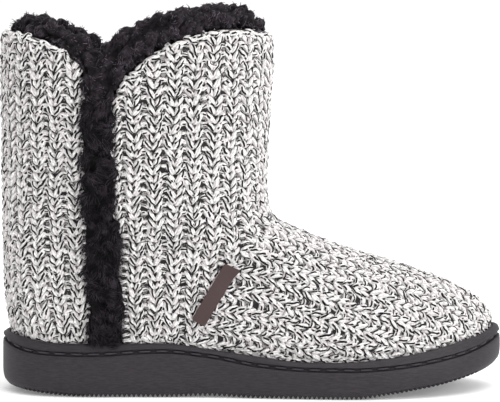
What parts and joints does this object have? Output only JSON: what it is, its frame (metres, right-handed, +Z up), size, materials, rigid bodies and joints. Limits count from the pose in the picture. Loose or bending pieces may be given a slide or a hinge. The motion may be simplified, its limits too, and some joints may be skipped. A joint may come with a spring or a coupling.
{
  "type": "slipper boot",
  "caption": "Ankle-high knitted slipper boot for the right foot, with a notched pile collar, pile strips down its sides and a moulded cup sole.",
  "frame": {"origin": "middle of the shoe's own box, on the ground under the sole", "axes": "+Z up, +X towards the toe, the outer side of the foot towards -Y"},
  "size_m": [0.27, 0.1042, 0.2066],
  "materials": {
    "sole_rubber": "moulded, satin",
    "knit": "chunky one-by-one rib in a marl yarn",
    "pile": "curly sherpa pile, matte",
    "label_ribbon": "woven ribbon"
  },
  "bodies": {
    "root": {"outsole": "sole_rubber", "insole": "pile", "upper": "knit", "lining": "pile", "fur_collar": "pile", "fur_strip_outer": "pile", "fur_strip_inner": "pile", "label": "label_ribbon"}
  },
  "joints": []
}
